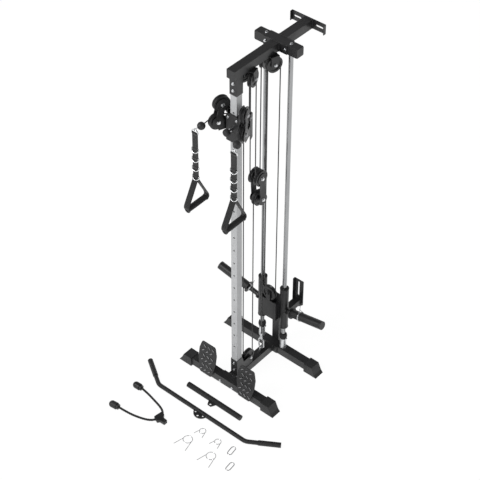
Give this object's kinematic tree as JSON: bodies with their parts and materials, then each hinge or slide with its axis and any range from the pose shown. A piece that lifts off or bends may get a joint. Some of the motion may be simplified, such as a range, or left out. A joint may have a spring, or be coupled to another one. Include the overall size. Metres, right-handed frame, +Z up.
{
  "type": "wall pulley tower",
  "caption": "Wall-braced cable pulldown tower with swivelling handle arms on a height-adjustable slider and a plate-loaded carriage on guide rods.",
  "frame": {"origin": "middle of the bounding box in plan, on the floor", "axes": "+Z up along the upright, +Y towards the wall, +X to the right of a person who faces the wall"},
  "size_m": [0.985, 1.182, 2.157],
  "materials": {
    "frame_paint": "satin black powder coat",
    "silver_paint": "satin silver grey powder coat",
    "bar_paint": "black bar with knurled ends",
    "end_cap_plastic": "moulded black plastic",
    "bearing_plastic": "smooth black nylon",
    "sleeve_plastic": "satin black plastic",
    "chrome": "polished chrome",
    "zinc": "bright zinc plate",
    "pin_metal": "satin steel",
    "bumper_rubber": "matt black rubber",
    "ball_rubber": "smooth black rubber",
    "rope": "black braid",
    "stop_rubber": "smooth black rubber",
    "row_grip": "fine ribbed black rubber",
    "cable_jacket": "black nylon jacket",
    "webbing": "black woven webbing",
    "foam": "black foam",
    "pulley_plastic": "satin black nylon"
  },
  "bodies": {
    "frame": {"foot_beams": "frame_paint", "end_caps": "end_cap_plastic", "center_beam": "frame_paint", "upright_socket": "frame_paint", "upright": "silver_paint", "top_beam": "frame_paint", "cross_beam": "frame_paint", "top_wall_beam": "frame_paint", "guide_rods": "chrome", "rod_collars": "chrome", "rod_bumpers": "bumper_rubber", "lower_wall_bracket": "frame_paint", "foot_plates": "frame_paint", "frame_bolts": "zinc", "top_hangers": "frame_paint", "cable_anchor": "zinc", "lift_cables": "cable_jacket", "weight_cables": "cable_jacket", "low_cable_front": "cable_jacket", "low_cable_rear": "cable_jacket"},
    "slider": {"slider_body": "frame_paint", "slider_liners": "bearing_plastic", "slider_bolts": "zinc", "slider_cables": "cable_jacket"},
    "pop_pin": {"pop_pin": "pin_metal"},
    "floating": {"floating_block": "frame_paint"},
    "floating_upper_pulleys": {"floating_upper_pulleys": "pulley_plastic"},
    "floating_lower_pulley": {"floating_lower_pulley": "pulley_plastic"},
    "carriage": {"weight_carriage": "frame_paint", "carriage_bushings": "bearing_plastic", "plate_sleeves": "sleeve_plastic"},
    "weight_pulley": {"weight_pulley": "pulley_plastic"},
    "low_pulley": {"low_pulley": "pulley_plastic"},
    "lat_bar": {"lat_bar": "bar_paint"},
    "row_bar": {"row_bar": "row_grip"},
    "triceps_rope": {"triceps_rope": "rope", "rope_fittings": "stop_rubber"},
    "loose_hardware": {"loose_hardware": "chrome"},
    "swivel_left": {"swivel_arm_left": "frame_paint", "swivel_cable_left": "cable_jacket"},
    "ball_left": {"cable_ball_left": "ball_rubber"},
    "handle_left": {"handle_rings_left": "chrome", "handle_strap_left": "webbing", "handle_grip_left": "foam"},
    "swivel_lower_pulley_left": {"swivel_lower_pulley_left": "pulley_plastic"},
    "swivel_upper_pulley_left": {"swivel_upper_pulley_left": "pulley_plastic"},
    "slider_pulley_left": {"slider_pulley_left": "pulley_plastic"},
    "top_front_pulley_left": {"top_front_pulley_left": "pulley_plastic"},
    "top_rear_pulley_left": {"top_rear_pulley_left": "pulley_plastic"},
    "swivel_right": {"swivel_arm_right": "frame_paint", "swivel_cable_right": "cable_jacket"},
    "ball_right": {"cable_ball_right": "ball_rubber"},
    "handle_right": {"handle_rings_right": "chrome", "handle_strap_right": "webbing", "handle_grip_right": "foam"},
    "swivel_lower_pulley_right": {"swivel_lower_pulley_right": "pulley_plastic"},
    "swivel_upper_pulley_right": {"swivel_upper_pulley_right": "pulley_plastic"},
    "slider_pulley_right": {"slider_pulley_right": "pulley_plastic"},
    "top_front_pulley_right": {"top_front_pulley_right": "pulley_plastic"},
    "top_rear_pulley_right": {"top_rear_pulley_right": "pulley_plastic"}
  },
  "joints": [
    {"name": "slider_height", "type": "slide", "parent": "frame", "child": "slider", "axis": [0, 0, 1], "range_m": [-1.08, 0], "deforming": ["slider_cables", "low_cable_front"]},
    {"name": "floating_lift", "type": "slide", "parent": "frame", "child": "floating", "axis": [0, 0, 1], "range_m": [0, 0.54], "deforming": ["lift_cables", "low_cable_rear"]},
    {"name": "weight_lift", "type": "slide", "parent": "frame", "child": "carriage", "axis": [0, 0, 1], "range_m": [0, 0.9], "deforming": ["weight_cables"]},
    {"name": "pop_pin_travel", "type": "slide", "parent": "slider", "child": "pop_pin", "axis": [0, 1, 0], "range_m": [0, 0.012]},
    {"name": "swivel_left_turn", "type": "hinge", "parent": "slider", "child": "swivel_left", "pos_m": [-0.0879, 0.04116, 1.8], "axis": [0, 0, 1], "range_deg": [-30, 10]},
    {"name": "handle_left_pull", "type": "slide", "parent": "swivel_left", "child": "ball_left", "axis": [0, -1, 0], "range_m": [0, 0.9]},
    {"name": "handle_left_swing", "type": "hinge", "parent": "ball_left", "child": "handle_left", "pos_m": [-0.1525, -0.124, 1.789], "axis": [1, 0, 0], "range_deg": [-60, 15]},
    {"name": "swivel_lower_pulley_left_spin", "type": "hinge", "parent": "swivel_left", "child": "swivel_lower_pulley_left", "pos_m": [-0.10933, -0.01058, 1.82], "axis": [0.9239, -0.3827, 0], "range_deg": [0, 1290]},
    {"name": "swivel_upper_pulley_left_spin", "type": "hinge", "parent": "swivel_left", "child": "swivel_upper_pulley_left", "pos_m": [-0.10015, 0.01159, 1.918], "axis": [0.9239, -0.3827, 0], "continuous": true},
    {"name": "slider_pulley_left_spin", "type": "hinge", "parent": "slider", "child": "slider_pulley_left", "pos_m": [-0.07776, 0.06564, 1.864], "axis": [0.9239, -0.3827, 0], "range_deg": [-2023, 0]},
    {"name": "top_front_pulley_left_spin", "type": "hinge", "parent": "frame", "child": "top_front_pulley_left", "pos_m": [-0.05697, 0.12765, 2.05], "axis": [0.9613, -0.2756, 0], "range_deg": [0, 1290]},
    {"name": "top_rear_pulley_left_spin", "type": "hinge", "parent": "frame", "child": "top_rear_pulley_left", "pos_m": [-0.05697, 0.28455, 2.05], "axis": [0.9613, 0.2756, 0], "range_deg": [0, 1290]},
    {"name": "swivel_right_turn", "type": "hinge", "parent": "slider", "child": "swivel_right", "pos_m": [0.0319, 0.04116, 1.8], "axis": [0, 0, 1], "range_deg": [-10, 30]},
    {"name": "handle_right_pull", "type": "slide", "parent": "swivel_right", "child": "ball_right", "axis": [0, -1, 0], "range_m": [0, 0.9]},
    {"name": "handle_right_swing", "type": "hinge", "parent": "ball_right", "child": "handle_right", "pos_m": [0.0965, -0.124, 1.789], "axis": [1, 0, 0], "range_deg": [-60, 15]},
    {"name": "swivel_lower_pulley_right_spin", "type": "hinge", "parent": "swivel_right", "child": "swivel_lower_pulley_right", "pos_m": [0.05333, -0.01058, 1.82], "axis": [0.9239, 0.3827, 0], "range_deg": [0, 1290]},
    {"name": "swivel_upper_pulley_right_spin", "type": "hinge", "parent": "swivel_right", "child": "swivel_upper_pulley_right", "pos_m": [0.04415, 0.01159, 1.918], "axis": [0.9239, 0.3827, 0], "continuous": true},
    {"name": "slider_pulley_right_spin", "type": "hinge", "parent": "slider", "child": "slider_pulley_right", "pos_m": [0.02176, 0.06564, 1.864], "axis": [0.9239, 0.3827, 0], "range_deg": [-2023, 0]},
    {"name": "top_front_pulley_right_spin", "type": "hinge", "parent": "frame", "child": "top_front_pulley_right", "pos_m": [0.00097, 0.12765, 2.05], "axis": [0.9613, 0.2756, 0], "range_deg": [0, 1290]},
    {"name": "top_rear_pulley_right_spin", "type": "hinge", "parent": "frame", "child": "top_rear_pulley_right", "pos_m": [0.00097, 0.28455, 2.05], "axis": [0.9613, -0.2756, 0], "range_deg": [0, 1290]},
    {"name": "floating_upper_pulleys_spin", "type": "hinge", "parent": "floating", "child": "floating_upper_pulleys", "pos_m": [-0.028, 0.2061, 1.376], "axis": [1, 0, 0], "range_deg": [-1290, 0]},
    {"name": "floating_lower_pulley_spin", "type": "hinge", "parent": "floating", "child": "floating_lower_pulley", "pos_m": [-0.028, 0.214, 1.232], "axis": [1, 0, 0], "range_deg": [-774, 0]},
    {"name": "low_pulley_spin", "type": "hinge", "parent": "frame", "child": "low_pulley", "pos_m": [-0.028, 0.134, 0.107], "axis": [1, 0, 0], "range_deg": [0, 1548]},
    {"name": "weight_pulley_spin", "type": "hinge", "parent": "carriage", "child": "weight_pulley", "pos_m": [-0.028, 0.323, 0.467], "axis": [0, 1, 0], "continuous": true},
    {"name": "lat_bar_lift_off", "type": "slide", "parent": "frame", "child": "lat_bar", "axis": [0, 0, 1], "range_m": [0, 0.2]},
    {"name": "row_bar_lift_off", "type": "slide", "parent": "frame", "child": "row_bar", "axis": [0, 0, 1], "range_m": [0, 0.2]},
    {"name": "triceps_rope_lift_off", "type": "slide", "parent": "frame", "child": "triceps_rope", "axis": [0, 0, 1], "range_m": [0, 0.2]},
    {"name": "loose_hardware_lift_off", "type": "slide", "parent": "frame", "child": "loose_hardware", "axis": [0, 0, 1], "range_m": [0, 0.2]}
  ],
  "couplings": [
    {"joint": "floating_lift", "follows": "slider_height", "ratio": -0.5},
    {"joint": "handle_left_pull", "follows": "weight_lift", "ratio": 1},
    {"joint": "swivel_lower_pulley_left_spin", "follows": "weight_lift", "rad_per_m": 25},
    {"joint": "slider_pulley_left_spin", "follows": "weight_lift", "rad_per_m": -39.216},
    {"joint": "top_front_pulley_left_spin", "follows": "weight_lift", "rad_per_m": 25},
    {"joint": "top_rear_pulley_left_spin", "follows": "weight_lift", "rad_per_m": 25},
    {"joint": "handle_right_pull", "follows": "weight_lift", "ratio": 1},
    {"joint": "swivel_lower_pulley_right_spin", "follows": "weight_lift", "rad_per_m": 25},
    {"joint": "slider_pulley_right_spin", "follows": "weight_lift", "rad_per_m": -39.216},
    {"joint": "top_front_pulley_right_spin", "follows": "weight_lift", "rad_per_m": 25},
    {"joint": "top_rear_pulley_right_spin", "follows": "weight_lift", "rad_per_m": 25},
    {"joint": "floating_upper_pulleys_spin", "follows": "weight_lift", "rad_per_m": -25},
    {"joint": "floating_lower_pulley_spin", "follows": "slider_height", "rad_per_m": 12.5},
    {"joint": "low_pulley_spin", "follows": "slider_height", "rad_per_m": -25}
  ]
}
